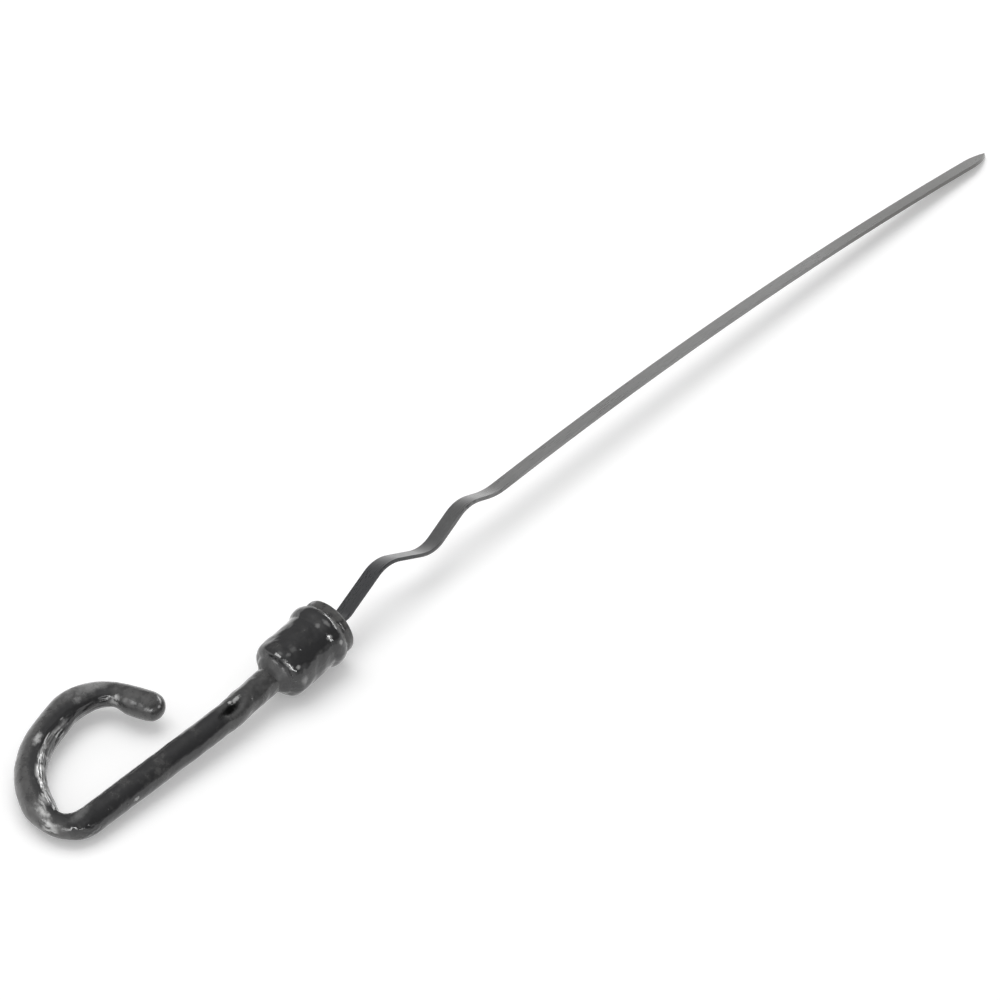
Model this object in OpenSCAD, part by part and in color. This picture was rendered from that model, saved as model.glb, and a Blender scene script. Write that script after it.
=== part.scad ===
// Engine oil dipstick, lying on a flat surface: a hook handle bent from round bar, a pressed cap
// with a rolled bead, a rubber seal in the cap's mouth and a flat gauge blade with two waves.
// The origin is on the cap's axis at the middle of the lip that enters the guide tube.
// The cap's axis points to the blade and climbs a little, as the part rests on the bend of its
// handle and on the tip of its blade. All sizes are in millimetres and degrees.

/* [Lie] */
// Climb of the cap's axis towards the blade, as the part lies
lie_pitch = 3.64; // [0:0.01:6]
// Roll about the cap's axis, as the part lies
lie_roll = 0; // [-4:0.05:4]

/* [Handle] */
// Diameter of the bar in the shank
bar_d = 8; // [7.8:0.1:9]
// Diameter of the bar where it enters the cap
neck_d = 7.7; // [7:0.1:7.8]
// Diameter of the bar in the tight far bend, which draws it thin
far_d = 6.7; // [6:0.1:8]
// Place where that bend is thinnest, as a share of its length
far_place = 0.75; // [0.3:0.05:0.9]
// Length over which the bar thickens again behind that place
far_ease = 8; // [3:0.5:12]
// Diameter of the bar round the back of the hook, where the bends have upset it
back_d = 8.8; // [8:0.1:10]
// Diameter of the bar where the last bend starts
top_d = 8.7; // [7.8:0.1:9]
// Diameter at the nipped place before the end of the bar
nip_d = 6.9; // [6:0.1:8]
// Diameter of the blunt end of the bar
end_d = 8.2; // [7.5:0.1:9]
// Straight neck behind the cap
neck_len = 17.7; // [14:0.1:30]
// Turn of the set at the end of the neck
set_angle = 4.4; // [0.4:0.1:8]
// Bend radius of that set
set_r = 20; // [15:1:40]
// Lift of the handle out of the cap's axis behind the set
set_lift = 0.8; // [0:0.05:3]
// Straight shank between the set and the first bend of the hook
shank_len = 47.6; // [36:0.1:60]
// Turn of the tight far bend
far_angle = 102; // [90:0.5:108]
// Radius of the tight far bend
far_r = 7.3; // [7:0.1:12]
// Straight stretch between the far bend and the wide bend
heel_len = 1.3; // [0.2:0.1:4]
// Turn of the wide bend round the back of the hook
back_angle = 61.5; // [50:0.5:70]
// Radius of the wide bend
back_r = 27.5; // [20:0.5:34]
// Straight stretch along the top of the hook
top_len = 6.9; // [2:0.1:14]
// Turn of the last bend
turn_angle = 86; // [76:0.5:92]
// Radius of the last bend
turn_r = 12.6; // [9:0.1:14]
// Straight end of the bar
end_len = 12.1; // [7:0.1:14]
// Place of the nip on the last bend, as a share of the bend's length
nip_place = 0.88; // [0.4:0.01:0.9]
// Length over which the bar swells out of the cap
neck_ease = 5; // [2:0.5:10]
// Length of the last bend over which the bar thins to its usual size
upset_ease = 2.5; // [1:0.5:6]
// Length over which the bar widens from the nip to its end
nip_ease = 5.5; // [2:0.5:7]

/* [Stake mark] */
// Distance of the punched mark behind the cap
stake_back = 18; // [10:0.5:20]
// Depth of the mark
stake_depth = 0.7; // [0.2:0.05:1]
// Radius of the punch's nose along the bar
stake_r = 15; // [10:0.5:24]
// Radius of the punch's nose across the bar
stake_side_r = 5; // [3:0.5:7]
// Direction of the mark about the bar, from straight up
stake_roll = 24; // [0:1:60]

/* [Cap] */
// Outside diameter of the body
body_d = 16.7; // [14:0.1:18]
// Length from the handle end to the bead
body_len = 14.5; // [12:0.1:18]
// Outside diameter over the bead
bead_d = 18.7; // [18.2:0.1:21]
// Length of the bead along the axis
bead_len = 5; // [4:0.1:6]
// Outside diameter of the lip that enters the guide tube
lip_d = 16.4; // [16:0.1:17]
// Length of the lip
lip_len = 2; // [1.6:0.1:4]
// Rounding of the lip's outer edge
lip_round = 0.3; // [0.1:0.05:0.5]
// Depth of the groove between the bead and the lip
groove_depth = 0.35; // [0.1:0.05:0.5]
// Length of that groove
groove_len = 0.9; // [0.6:0.1:1.5]
// Wall of the pressed cap
wall = 1.1; // [0.8:0.1:1.4]
// Rounding of the handle end
cap_round = 2.6; // [1.5:0.1:3]
// Radius of the fillet where the bar enters
root_fillet = 1.3; // [0.6:0.1:1.6]

/* [Seal] */
// Length of the rubber plug in the cap's mouth
seal_len = 7; // [4:0.5:8]
// Distance of its face inside the lip
seal_recess = 0.7; // [0.2:0.1:1.5]
// Rounding of its face's rim
seal_round = 0.5; // [0.2:0.1:0.8]

/* [Blade] */
// Width of the strip
blade_w = 5.5; // [4:0.1:6]
// Thickness of the strip
blade_t = 1; // [0.8:0.1:1.4]
// Roll of the strip about the cap's axis, away from lying flat
blade_roll = 24; // [0:1:45]
// Length of the tang held in the end of the bar
tang_len = 7; // [4:0.5:9]
// Straight length that stands out of the lip before the first bend
lead_len = 4; // [1:0.1:6]
// Climb of the slope towards the first crest
rise_angle = 14.8; // [8:0.1:20]
// Fall of the slope behind the first crest
fall_angle = 27.2; // [20:0.1:32]
// Climb of the slope towards the second crest
second_rise_angle = 15; // [8:0.1:20]
// Fall of the slope behind the second crest
last_fall_angle = 22; // [12:0.1:26]
// Length of the first climb between its bends
rise_run = 13.5; // [8:0.1:18]
// Length of the first fall between its bends
fall_run = 7.8; // [4:0.1:12]
// Length of the second climb between its bends
second_rise_run = 9; // [6:0.1:16]
// Length of the second fall between its bends
second_fall_run = 2.7; // [2:0.1:8]
// Bend radius of the first bend out of the cap
first_r = 6; // [3:0.5:14]
// Bend radius of the first crest
crest_r = 12; // [6:0.5:20]
// Bend radius of the valley between the crests
valley_r = 11.5; // [6:0.5:20]
// Bend radius of the second crest
second_crest_r = 13; // [6:0.5:20]
// Fall of the long straight run where it starts
main_fall_angle = 3.6; // [0:0.1:8]
// Bend radius from the last wave into the long run
main_start_r = 21.5; // [12:0.5:40]
// Length of the long run
main_len = 219; // [120:0.5:260]
// Sag of the long run, the angle that it turns on its whole length
sag_angle = 6.9; // [0.5:0.1:9]
// Length over which one edge curves in to the point
tip_len = 10; // [5:0.5:14]
// Length over which the other edge curves in to the point
tip_short_len = 7; // [3:0.5:9]
// Distance of the point from that other edge
tip_point = 2.3; // [1:0.1:3]

/* [Fits] */
// Clearance round the bar in the cap's end hole
bar_clear = 0.05; // [0.02:0.01:0.15]
// Clearance round the seal in the cap
seal_clear = 0.05; // [0.02:0.01:0.15]
// Clearance of the blade in its slots
slot_clear = 0.05; // [0.02:0.01:0.15]
// Clearance between the seal and the end of the bar
end_clear = 0.3; // [0.1:0.1:1]

/* [Hidden] */

enamel = [0.06, 0.06, 0.065];
rubber = [0.13, 0.13, 0.13];
steel = [0.52, 0.52, 0.53];

// Fineness of the round faces, the bar's sides and the spacing of its rings
round_fn = 128;
bar_sides = 28;
ring_step = 2.2;
bend_step = 5;
dome_rings = 6;
sag_steps = 16;
blade_bend_step = 2.5;
cut = 0.5;

// Places along the cap's axis, from the middle of the lip
lip_face = lip_len / 2;
bead_front = -lip_len / 2 - groove_len;
bead_back = bead_front - bead_len;
cap_end = bead_back - body_len;
seal_face = lip_face - seal_recess;
seal_back = seal_face - seal_len;
bar_end = seal_back - end_clear;
set_start = cap_end - neck_len;
mouth_r = lip_d / 2 - groove_depth - wall;
mouth_back = min(bead_back, seal_back - end_clear);
body_bore_r = body_d / 2 - wall;

// The bar's run: straight length, bend radius and turn of each leg, the turns to the hook's side
bar_legs = [
    [bar_end - set_start, set_r, -set_angle],
    [shank_len, far_r, -far_angle],
    [heel_len, back_r, -back_angle],
    [top_len, turn_r, -turn_angle],
    [end_len - end_d / 2, 0, 0]
];

// The blade's run, seen from its edge, up to its long run
blade_legs = [
    [tang_len + lip_face - bar_end + lead_len, first_r, rise_angle],
    [rise_run, crest_r, -rise_angle - fall_angle],
    [fall_run, valley_r, fall_angle + second_rise_angle],
    [second_rise_run, second_crest_r, -second_rise_angle - last_fall_angle],
    [second_fall_run, main_start_r, last_fall_angle - main_fall_angle]
];
// The long run itself, one shallow arc
main_leg = [0, main_len / sag_angle * 180 / PI, -sag_angle];

function leg_length(leg) = leg[0] + leg[1] * abs(leg[2]) * PI / 180;

// A station on a run is [x, y, heading, distance]. A turn is positive to the left.
function on_straight(p, run) = [p[0] + run * cos(p[2]), p[1] + run * sin(p[2]), p[2], p[3] + run];
function on_bend(p, r, turn) =
    let (side = sign(turn), g = p[2] + turn)
    [p[0] + side * r * (sin(g) - sin(p[2])), p[1] - side * r * (cos(g) - cos(p[2])), g,
     p[3] + r * abs(turn) * PI / 180];
function leg_end(p, leg) = on_bend(on_straight(p, leg[0]), leg[1], leg[2]);
function leg_stations(p, leg, run_step, turn_step) =
    let (n = max(1, ceil(leg[0] / run_step)), m = ceil(abs(leg[2]) / turn_step), q = on_straight(p, leg[0]))
    concat(
        [for (i = [1:1:n]) if (leg[0] > 0) on_straight(p, leg[0] * i / n)],
        [for (i = [1:1:m]) on_bend(q, leg[1], leg[2] * i / m)]);
function run_stations(p, legs, run_step, turn_step, i = 0) =
    i == len(legs) ? [] : concat(
        leg_stations(p, legs[i], run_step, turn_step),
        run_stations(leg_end(p, legs[i]), legs, run_step, turn_step, i + 1));

// Distances along the bar from its end in the cap
neck_stop = bar_end - cap_end;
far_start = leg_length(bar_legs[0]) + shank_len;
back_start = far_start + leg_length([0, far_r, far_angle]);
back_stop = back_start + heel_len + leg_length([0, back_r, back_angle]);
turn_start = back_stop + top_len;
turn_run = leg_length([0, turn_r, turn_angle]);

// Knots of the bar's thickness, [distance, diameter]: necked in the cap, full in the shank, drawn
// thin in the tight bend, upset round the back, then nipped
far_thin = far_start + far_place * (back_start - far_start);
nip_at = turn_start + nip_place * turn_run;
bar_knots = [
    [neck_stop, neck_d], [neck_stop + neck_ease, bar_d], [far_start, bar_d], [far_thin, far_d],
    [far_thin + far_ease, back_d], [back_stop, back_d], [turn_start + upset_ease, top_d],
    [nip_at, nip_d], [nip_at + nip_ease, end_d]
];

function ease(t) = let (c = min(1, max(0, t))) c * c * (3 - 2 * c);
function bar_width(s, i = 1) =
    let (a = bar_knots[i - 1], b = bar_knots[i])
    s < b[0] || i == len(bar_knots) - 1
        ? a[1] + (b[1] - a[1]) * ease((s - a[0]) / (b[0] - a[0]))
        : bar_width(s, i + 1);
// Height of the handle over the cap's axis, which eases in behind the set
function lift_at(x) = let (back = max(0, set_start - x)) tan(set_lift) * back * back / (back + bar_d);
// The nip is on the inner side, so its middle moves outwards
function nip_shift(s) = s < turn_start ? 0 : max(0, bar_d - bar_width(s)) / 2;

function ring_at(p, d, shift) =
    [for (j = [0:bar_sides - 1]) let (t = 360 * j / bar_sides, u = d / 2 * cos(t) + shift)
        [p[0] - u * sin(p[2]), p[1] + u * cos(p[2]), lift_at(p[0]) + d / 2 * sin(t)]];

// The round bar: rings along its run and a domed end
module bar() {
    first = [bar_end, 0, 180, 0];
    stations = concat([first], run_stations(first, bar_legs, ring_step, bend_step));
    last = stations[len(stations) - 1];
    dome = [for (i = [1:dome_rings - 1]) 88 * sin(90 * i / (dome_rings - 1))];
    rings = concat(
        [for (p = stations) ring_at(p, bar_width(p[3]), nip_shift(p[3]))],
        [for (a = dome) ring_at(on_straight(last, end_d / 2 * sin(a)), end_d * cos(a), 0)]);
    count = len(rings);
    points = [for (ring = rings) for (p = ring) p];
    sides = [for (k = [0:count - 2]) for (j = [0:bar_sides - 1])
        let (a = k * bar_sides + j, b = k * bar_sides + (j + 1) % bar_sides)
        for (f = [[b, a, a + bar_sides], [b + bar_sides, b, a + bar_sides]]) f];
    start_cap = [[for (j = [0:bar_sides - 1]) j]];
    end_cap = [[for (j = [bar_sides - 1:-1:0]) (count - 1) * bar_sides + j]];
    polyhedron(points = points, faces = concat(start_cap, sides, end_cap), convexity = 6);
}

// The punch of the stake mark, a nose rounded along the bar and across it
module punch() {
    translate([0, 0, neck_d / 2 + stake_r - stake_depth]) rotate([90, 0, 0])
        rotate_extrude($fn = 96) translate([stake_r - stake_side_r, 0]) circle(stake_side_r, $fn = 48);
}

// Handle: the bar, sawn for the blade's tang and marked by a punch behind the cap
module handle() {
    color(enamel) lying() difference() {
        bar();
        in_blade_plane() translate([bar_end - tang_len - slot_clear, -bar_d, -blade_t / 2 - slot_clear])
            cube([tang_len + cut, 2 * bar_d, blade_t + 2 * slot_clear]);
        translate([cap_end - stake_back, 0, 0]) rotate([stake_roll, 0, 0]) punch();
    }
}

// Half section of the cap's outside, with its radius along x and the axis along y
module cap_outline() {
    body_r = body_d / 2;
    lip_r = lip_d / 2;
    hole_r = neck_d / 2 + bar_clear;
    bead_rise = bead_d / 2 - body_r;
    bead_r = (bead_len * bead_len / 4 + bead_rise * bead_rise) / (2 * bead_rise);
    translate([0, cap_end]) square([body_r - cap_round, body_len + bead_len]);
    translate([0, cap_end + cap_round]) square([body_r, body_len + bead_len - cap_round]);
    translate([body_r - cap_round, cap_end + cap_round]) circle(cap_round, $fn = 64);
    intersection() {
        translate([body_r + bead_rise - bead_r, bead_back + bead_len / 2]) circle(bead_r, $fn = 96);
        translate([0, bead_back]) square([bead_d, bead_len]);
    }
    translate([0, bead_front - cut]) square([lip_r - groove_depth, groove_len + 2 * cut]);
    translate([0, -lip_len / 2]) square([lip_r, lip_len - lip_round]);
    translate([0, 0]) square([lip_r - lip_round, lip_face]);
    translate([lip_r - lip_round, lip_face - lip_round]) circle(lip_round, $fn = 32);
    difference() {
        translate([0, cap_end - root_fillet]) square([hole_r + root_fillet, root_fillet + cut]);
        translate([hole_r + root_fillet, cap_end - root_fillet]) circle(root_fillet, $fn = 48);
    }
}

// Cap: a pressed cup with a rounded end, a rolled bead and a lip, open to the blade
module cap() {
    color(enamel) lying() along_axis() rotate_extrude($fn = round_fn) difference() {
        intersection() {
            cap_outline();
            translate([0, cap_end - root_fillet]) square([bead_d, lip_face - cap_end + root_fillet]);
        }
        translate([-cut, cap_end + wall]) square([body_bore_r + cut, mouth_back - cap_end - wall]);
        translate([-cut, mouth_back - cut]) square([mouth_r + cut, lip_face - mouth_back + 2 * cut]);
        translate([-cut, cap_end - root_fillet - cut])
            square([neck_d / 2 + bar_clear + cut, wall + root_fillet + 2 * cut]);
    }
}

// Seal: a rubber plug with a rounded rim and a slot for the blade
module seal() {
    r = mouth_r - seal_clear;
    color(rubber) lying() difference() {
        along_axis() rotate_extrude($fn = round_fn) {
            translate([0, seal_back]) square([r, seal_len - seal_round]);
            translate([0, seal_back]) square([r - seal_round, seal_len]);
            intersection() {
                translate([r - seal_round, seal_face - seal_round]) circle(seal_round, $fn = 32);
                translate([0, seal_back]) square([r, seal_len]);
            }
        }
        in_blade_plane() translate([seal_back - cut, -blade_w / 2 - slot_clear, -blade_t / 2 - slot_clear])
            cube([seal_len + 2 * cut, blade_w + 2 * slot_clear, blade_t + 2 * slot_clear]);
    }
}

// Blade: the strip bent along its run, with a slanted tip
module blade() {
    first = [bar_end - tang_len, 0, 0, 0];
    waves = concat([first], run_stations(first, blade_legs, main_len, blade_bend_step));
    sag = leg_stations(waves[len(waves) - 1], main_leg, main_len, sag_angle / sag_steps);
    stations = concat(waves, sag);
    last = stations[len(stations) - 1];
    upper = [for (p = stations) [p[0] - blade_t / 2 * sin(p[2]), p[1] + blade_t / 2 * cos(p[2])]];
    lower = [for (i = [len(stations) - 1:-1:0]) let (p = stations[i])
        [p[0] + blade_t / 2 * sin(p[2]), p[1] - blade_t / 2 * cos(p[2])]];
    color(steel) lying() in_blade_plane() difference() {
        rotate([90, 0, 0]) translate([0, 0, -blade_w / 2]) linear_extrude(blade_w) polygon(concat(upper, lower));
        translate([last[0], 0, last[1] - tip_len]) linear_extrude(2 * tip_len) tip_waste();
    }
}

// What is cut from the strip at its tip: each edge curves in to the point on an arc of its own
module tip_waste() {
    edge = blade_w / 2;
    long_w = blade_w - tip_point;
    short_r = (tip_short_len * tip_short_len + tip_point * tip_point) / (2 * tip_point);
    long_r = (tip_len * tip_len + long_w * long_w) / (2 * long_w);
    difference() {
        translate([-tip_len, -blade_w]) square([2 * tip_len, 2 * blade_w]);
        intersection() {
            union() {
                translate([-tip_short_len, edge - short_r]) circle(short_r, $fn = 128);
                translate([-2 * tip_len, -blade_w]) square([2 * tip_len - tip_short_len, 2 * blade_w]);
            }
            union() {
                translate([-tip_len, long_r - edge]) circle(long_r, $fn = 128);
                translate([-2 * tip_len, -blade_w]) square([tip_len, 2 * blade_w]);
            }
        }
    }
}

// Turns a shape made along z, its radius along x, on to the cap's axis
module along_axis() {
    rotate([0, 90, 0]) children();
}

// Turns a shape from lying flat to the roll of the blade
module in_blade_plane() {
    rotate([-blade_roll, 0, 0]) children();
}

// Sets the whole part down as it lies
module lying() {
    rotate([0, -lie_pitch, 0]) rotate([lie_roll, 0, 0]) children();
}

handle();
cap();
seal();
blade();
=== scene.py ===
# %% [markdown]
# # An engine oil dipstick
#
# The object is one rigid thing made of four pieces: a hook handle bent from round bar, a pressed
# cap with a rolled bead, a rubber seal in the cap's mouth, and a flat gauge blade with two waves.
# The handle and the cap are under one thick, glossy, uneven coat of black enamel. The blade is bare
# rolled steel, dull grey, with a dark haze of overspray where it leaves the cap.
#
# The shapes could be modelled here by hand, but sizes that have to fit belong in a drawing. So the
# solids are loaded first. They give every piece its size and its place, in metres, and what follows
# dresses them.

# %% Load the solids
import math
import bpy
import numpy as np
from mathutils import Matrix, Vector, noise


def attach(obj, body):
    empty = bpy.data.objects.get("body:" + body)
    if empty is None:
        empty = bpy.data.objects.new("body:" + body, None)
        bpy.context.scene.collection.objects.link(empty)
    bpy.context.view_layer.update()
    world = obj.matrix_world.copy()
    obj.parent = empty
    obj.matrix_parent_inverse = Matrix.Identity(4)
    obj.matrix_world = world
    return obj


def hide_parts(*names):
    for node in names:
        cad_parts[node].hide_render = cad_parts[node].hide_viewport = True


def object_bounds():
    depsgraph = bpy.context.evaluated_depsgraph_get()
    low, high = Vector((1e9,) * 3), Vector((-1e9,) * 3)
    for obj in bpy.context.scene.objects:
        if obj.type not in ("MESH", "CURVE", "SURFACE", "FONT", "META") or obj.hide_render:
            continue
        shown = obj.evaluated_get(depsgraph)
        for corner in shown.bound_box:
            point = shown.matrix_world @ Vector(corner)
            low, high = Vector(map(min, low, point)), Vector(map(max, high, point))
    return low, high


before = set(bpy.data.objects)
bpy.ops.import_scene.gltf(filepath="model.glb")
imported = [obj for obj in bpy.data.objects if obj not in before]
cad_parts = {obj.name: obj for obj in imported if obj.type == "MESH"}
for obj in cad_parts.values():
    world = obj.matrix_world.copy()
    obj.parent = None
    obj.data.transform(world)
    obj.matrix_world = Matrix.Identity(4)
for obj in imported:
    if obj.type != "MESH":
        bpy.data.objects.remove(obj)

solid_low, solid_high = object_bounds()
MM = 0.001
print("solids:", sorted(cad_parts))
print("size in mm:", [round(side / MM, 1) for side in solid_high - solid_low])

# %% [markdown]
# ## The camera
#
# The photograph looks down on the dipstick at about 43 degrees, from the handle's end and a little
# to one side, with a long lens. A camera can be aimed by hand, with a constraint, or by its two
# angles. The angles are used here, because they can be read off the picture and corrected one at
# a time: a direction from the object to the camera, the point looked at, the distance and the lens.

# %% Set up the camera
CAMERA_TURN, CAMERA_HEIGHT = math.radians(-50.32), math.radians(42.62)
CAMERA_DISTANCE, CAMERA_LENS, CAMERA_SENSOR = 1.210, 157, 36
LOOKED_AT = Vector((0.0755, 0.00347, -0.0096))

scene = bpy.context.scene
scene.view_settings.view_transform = "Standard"
towards_camera = Vector((math.sin(CAMERA_TURN) * math.cos(CAMERA_HEIGHT),
                         -math.cos(CAMERA_TURN) * math.cos(CAMERA_HEIGHT),
                         math.sin(CAMERA_HEIGHT)))
right = Vector((math.cos(CAMERA_TURN), math.sin(CAMERA_TURN), 0))
upward = towards_camera.cross(right)

camera = bpy.data.objects.new("camera", bpy.data.cameras.new("camera"))
scene.collection.objects.link(camera)
camera.data.lens, camera.data.sensor_width = CAMERA_LENS, CAMERA_SENSOR
camera.matrix_world = Matrix.Translation(LOOKED_AT + towards_camera * CAMERA_DISTANCE) @ Matrix(
    (right, upward, towards_camera)).transposed().to_4x4()
scene.camera = camera
print("camera at", [round(v, 3) for v in camera.matrix_world.translation])

# %% [markdown]
# ## Nodes in a script
#
# The room, the floor and every finish on the dipstick are drawn by nodes. They could be placed and
# joined by hand in the node editor, but in a script a change is one number on one line. Four
# helpers keep those lines short. One feeds the inputs of a node, one adds a node, one does sums, and
# one turns a stretch of values into another, which is how a noise or a distance becomes a mask.

# %% Helpers that add and join nodes
def feed(tree, node, inputs):
    """Give inputs, by name or by place, a number, a colour, a vector or another node's output."""
    for name, value in inputs.items():
        if isinstance(value, bpy.types.NodeSocket):
            tree.links.new(value, node.inputs[name])
        else:
            node.inputs[name].default_value = value


def add(tree, kind, inputs=None, **settings):
    """A new node with its settings and what is fed to its inputs."""
    node = tree.nodes.new(kind)
    for name, value in settings.items():
        setattr(node, name, value)
    feed(tree, node, inputs or {})
    return node


def number(tree, operation, *values, clamp=False):
    """What a Math node makes of the values."""
    inputs = dict(enumerate(values))
    return add(tree, "ShaderNodeMath", inputs, operation=operation, use_clamp=clamp).outputs[0]


def between(tree, value, low, high, to_low=0.0, to_high=1.0, step="SMOOTHSTEP"):
    """A step of value from low to high, given out as to_low to to_high, smooth unless asked."""
    inputs = {"Value": value, "From Min": low, "From Max": high, "To Min": to_low, "To Max": to_high}
    return add(tree, "ShaderNodeMapRange", inputs, interpolation_type=step).outputs["Result"]


print("helpers:", [helper.__name__ for helper in (feed, add, number, between)])

# %% [markdown]
# ## Room, floor and lamps
#
# Glossy black is drawn by what it mirrors, so the room matters more than the lamps. Gloss sees a
# grey gradient: pale at the horizon, where a white sweep would rise behind the object, darker above,
# and brighter to the left and behind than on the right, which gives every lump in the enamel a light
# and a dark side. Matt surfaces get one plain level instead, so the shadows stay soft, and the
# camera sees white beyond the floor. A picture of a real studio could be used, but a gradient needs
# no outside file and has no surprises in it.

# %% Make the room
ROOM_TONES = [(0.0, 0.84), (0.10, 0.84), (0.24, 0.24), (0.50, 0.305), (1.0, 0.575)]
BRIGHT_SIDE, SIDE_FROM, SIDE_TO = (-0.75, 0.60, 0.28), -0.3, 1.0
SIDE_TONES, PLAIN_TONE, WHITE = (0.74, 2.2), 0.60, (1, 1, 1, 1)

room = bpy.data.worlds.new("studio room")
scene.world = room
room.use_nodes = True
tree = room.node_tree
tree.nodes.clear()
way = add(tree, "ShaderNodeTexCoord").outputs["Generated"]
rays = add(tree, "ShaderNodeLightPath").outputs
height = add(tree, "ShaderNodeSeparateXYZ", {0: way}).outputs["Z"]
tones = add(tree, "ShaderNodeValToRGB", {"Fac": height})
tones.color_ramp.interpolation = "EASE"
while len(tones.color_ramp.elements) < len(ROOM_TONES):
    tones.color_ramp.elements.new(0.5)
for stop, (place, tone) in zip(tones.color_ramp.elements, ROOM_TONES):
    stop.position, stop.color = place, (tone, tone, tone, 1)
side = add(tree, "ShaderNodeVectorMath", {0: way, 1: BRIGHT_SIDE}, operation="DOT_PRODUCT")
side_tone = between(tree, side.outputs["Value"], SIDE_FROM, SIDE_TO, *SIDE_TONES, step="LINEAR")
mirrored = number(tree, "MULTIPLY", tones.outputs["Color"], side_tone)
plain = number(tree, "MULTIPLY_ADD", rays["Is Camera Ray"], 1.0 - PLAIN_TONE, PLAIN_TONE)
seen = add(tree, "ShaderNodeMix", {"Factor": rays["Is Glossy Ray"], "A": plain, "B": mirrored})
light = add(tree, "ShaderNodeBackground", {"Color": WHITE, "Strength": seen.outputs["Result"]})
add(tree, "ShaderNodeOutputWorld", {"Surface": light.outputs[0]})
print("room tones, from the horizon to overhead:", [tone for _, tone in ROOM_TONES])

# %% [markdown]
# The floor is a plain white sheet under the object. It takes the lamps as any matt surface does, so
# the object's soft shadow stays on it. The camera and the gloss of the pieces see a little glow on
# top of that, from the Light Path node, which lifts the sheet to white. More lamps would do that too,
# but they would wash out the shadow and light the object with it. The camera's glow grows with the
# distance, because the lamps don't reach far.

# %% Lay the floor
SHEET_SIZE, SHEET_GAP, SHEET_WHITE = 12, 0.02 * MM, (0.9, 0.9, 0.9, 1)
CAMERA_GLOW, FAR_GLOW, GLOSS_GLOW = 0.22, 0.42, 0.60
GLOW_NEAR, GLOW_FAR = 0.4, 2.0


def new_material(name):
    """A new material, its node tree and its Principled shader."""
    material = bpy.data.materials.new(name)
    material.use_nodes = True
    return material, material.node_tree, material.node_tree.nodes["Principled BSDF"]


bpy.ops.object.select_all(action="DESELECT")
bpy.ops.mesh.primitive_plane_add(size=SHEET_SIZE,
                                 location=(LOOKED_AT.x, LOOKED_AT.y, solid_low.z - SHEET_GAP))
floor = bpy.context.object
floor.name = "floor"
sheet, tree, face = new_material("white sheet")
on_sheet = add(tree, "ShaderNodeTexCoord").outputs["Object"]
way_off = add(tree, "ShaderNodeVectorMath", {0: on_sheet}, operation="LENGTH").outputs["Value"]
rays = add(tree, "ShaderNodeLightPath").outputs
glow = between(tree, way_off, GLOW_NEAR, GLOW_FAR, CAMERA_GLOW, FAR_GLOW, step="LINEAR")
glow = number(tree, "MULTIPLY", rays["Is Camera Ray"], glow)
glow = number(tree, "MULTIPLY_ADD", rays["Is Glossy Ray"], GLOSS_GLOW, glow)
feed(tree, face, {"Base Color": SHEET_WHITE, "Roughness": 1.0, "Specular IOR Level": 0.0,
                  "Emission Color": WHITE, "Emission Strength": glow})
floor.data.materials.append(sheet)
print("floor at z in mm:", round(floor.location.z / MM, 2))

# %% [markdown]
# A broad lamp overhead gives the plain level of light. Its mirror image would be a hard grey band
# along the whole bar, and the photograph has none, so it is hidden from gloss. The streaks on the
# hook and the spots on the cap come from low lamps past each end of the dipstick. To try places for
# them takes many renders, so it was worked out backwards: the direction to the camera, mirrored at
# the place of a streak, points at its lamp. The bar's own direction keeps them off the shank. They
# only show in gloss.

# %% Hang the lamps
LIT_POINT = Vector((0.05, 0, 0))


def hang_lamp(name, way, distance, width, height, power):
    """A rectangular lamp in the direction way from the lit point, facing it."""
    lamp = bpy.data.objects.new(name, bpy.data.lights.new(name, "AREA"))
    scene.collection.objects.link(lamp)
    lamp.data.shape, lamp.data.size, lamp.data.size_y = "RECTANGLE", width, height
    lamp.data.energy = power
    way = Vector(way).normalized()
    lamp.location = LIT_POINT + way * distance
    lamp.rotation_euler = way.to_track_quat("Z", "Y").to_euler()
    return lamp


overhead = hang_lamp("overhead lamp", (0.1, 0.25, 1.0), 1.6, 1.6, 1.2, 12)
overhead.visible_glossy = False
tip_lamp = hang_lamp("lamp past the tip", (0.91, -0.16, 0.38), 1.5, 1.5, 0.32, 17)
hook_lamp = hang_lamp("lamp past the hook", (-0.80, -0.57, 0.30), 1.4, 1.3, 0.16, 11)
back_lamp = hang_lamp("lamp behind the hook", (-0.90, 0.33, 0.48), 1.4, 0.4, 0.4, 5)
for lamp in (tip_lamp, hook_lamp, back_lamp):
    lamp.visible_diffuse = False
print("lamps:", [lamp.name for lamp in (overhead, tip_lamp, hook_lamp, back_lamp)])

# %% [markdown]
# ## Places on the dipstick
#
# Most marks on the real one sit at a place along the cap's axis or at a distance from it: the haze on
# the blade ends a few centimetres from the cap, the enamel is thickest at the root of the bar. The
# solids lie on the floor with that axis climbing a little, so a Mapping node turns the coordinates
# back until X runs along the axis. A second one rolls them into the plane of the strip. The pieces
# could be unwrapped instead, but then a distance along the bar couldn't be given in millimetres.

# %% Turn the coordinates
LIE_CLIMB, STRIP_ROLL = math.radians(3.64), math.radians(24)
ONTO_AXIS, ONTO_STRIP = (0, LIE_CLIMB, 0), (STRIP_ROLL, 0, 0)


def turned(tree, *turns):
    """The object's own coordinates after one or more turns, each with its three angles."""
    place = add(tree, "ShaderNodeTexCoord").outputs["Object"]
    for angles in turns:
        inputs = {"Vector": place, "Rotation": angles}
        place = add(tree, "ShaderNodeMapping", inputs, vector_type="POINT").outputs["Vector"]
    return place


print("in degrees, axis climbs by", round(math.degrees(LIE_CLIMB), 2),
      "and strip is rolled by", round(math.degrees(STRIP_ROLL)))

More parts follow.
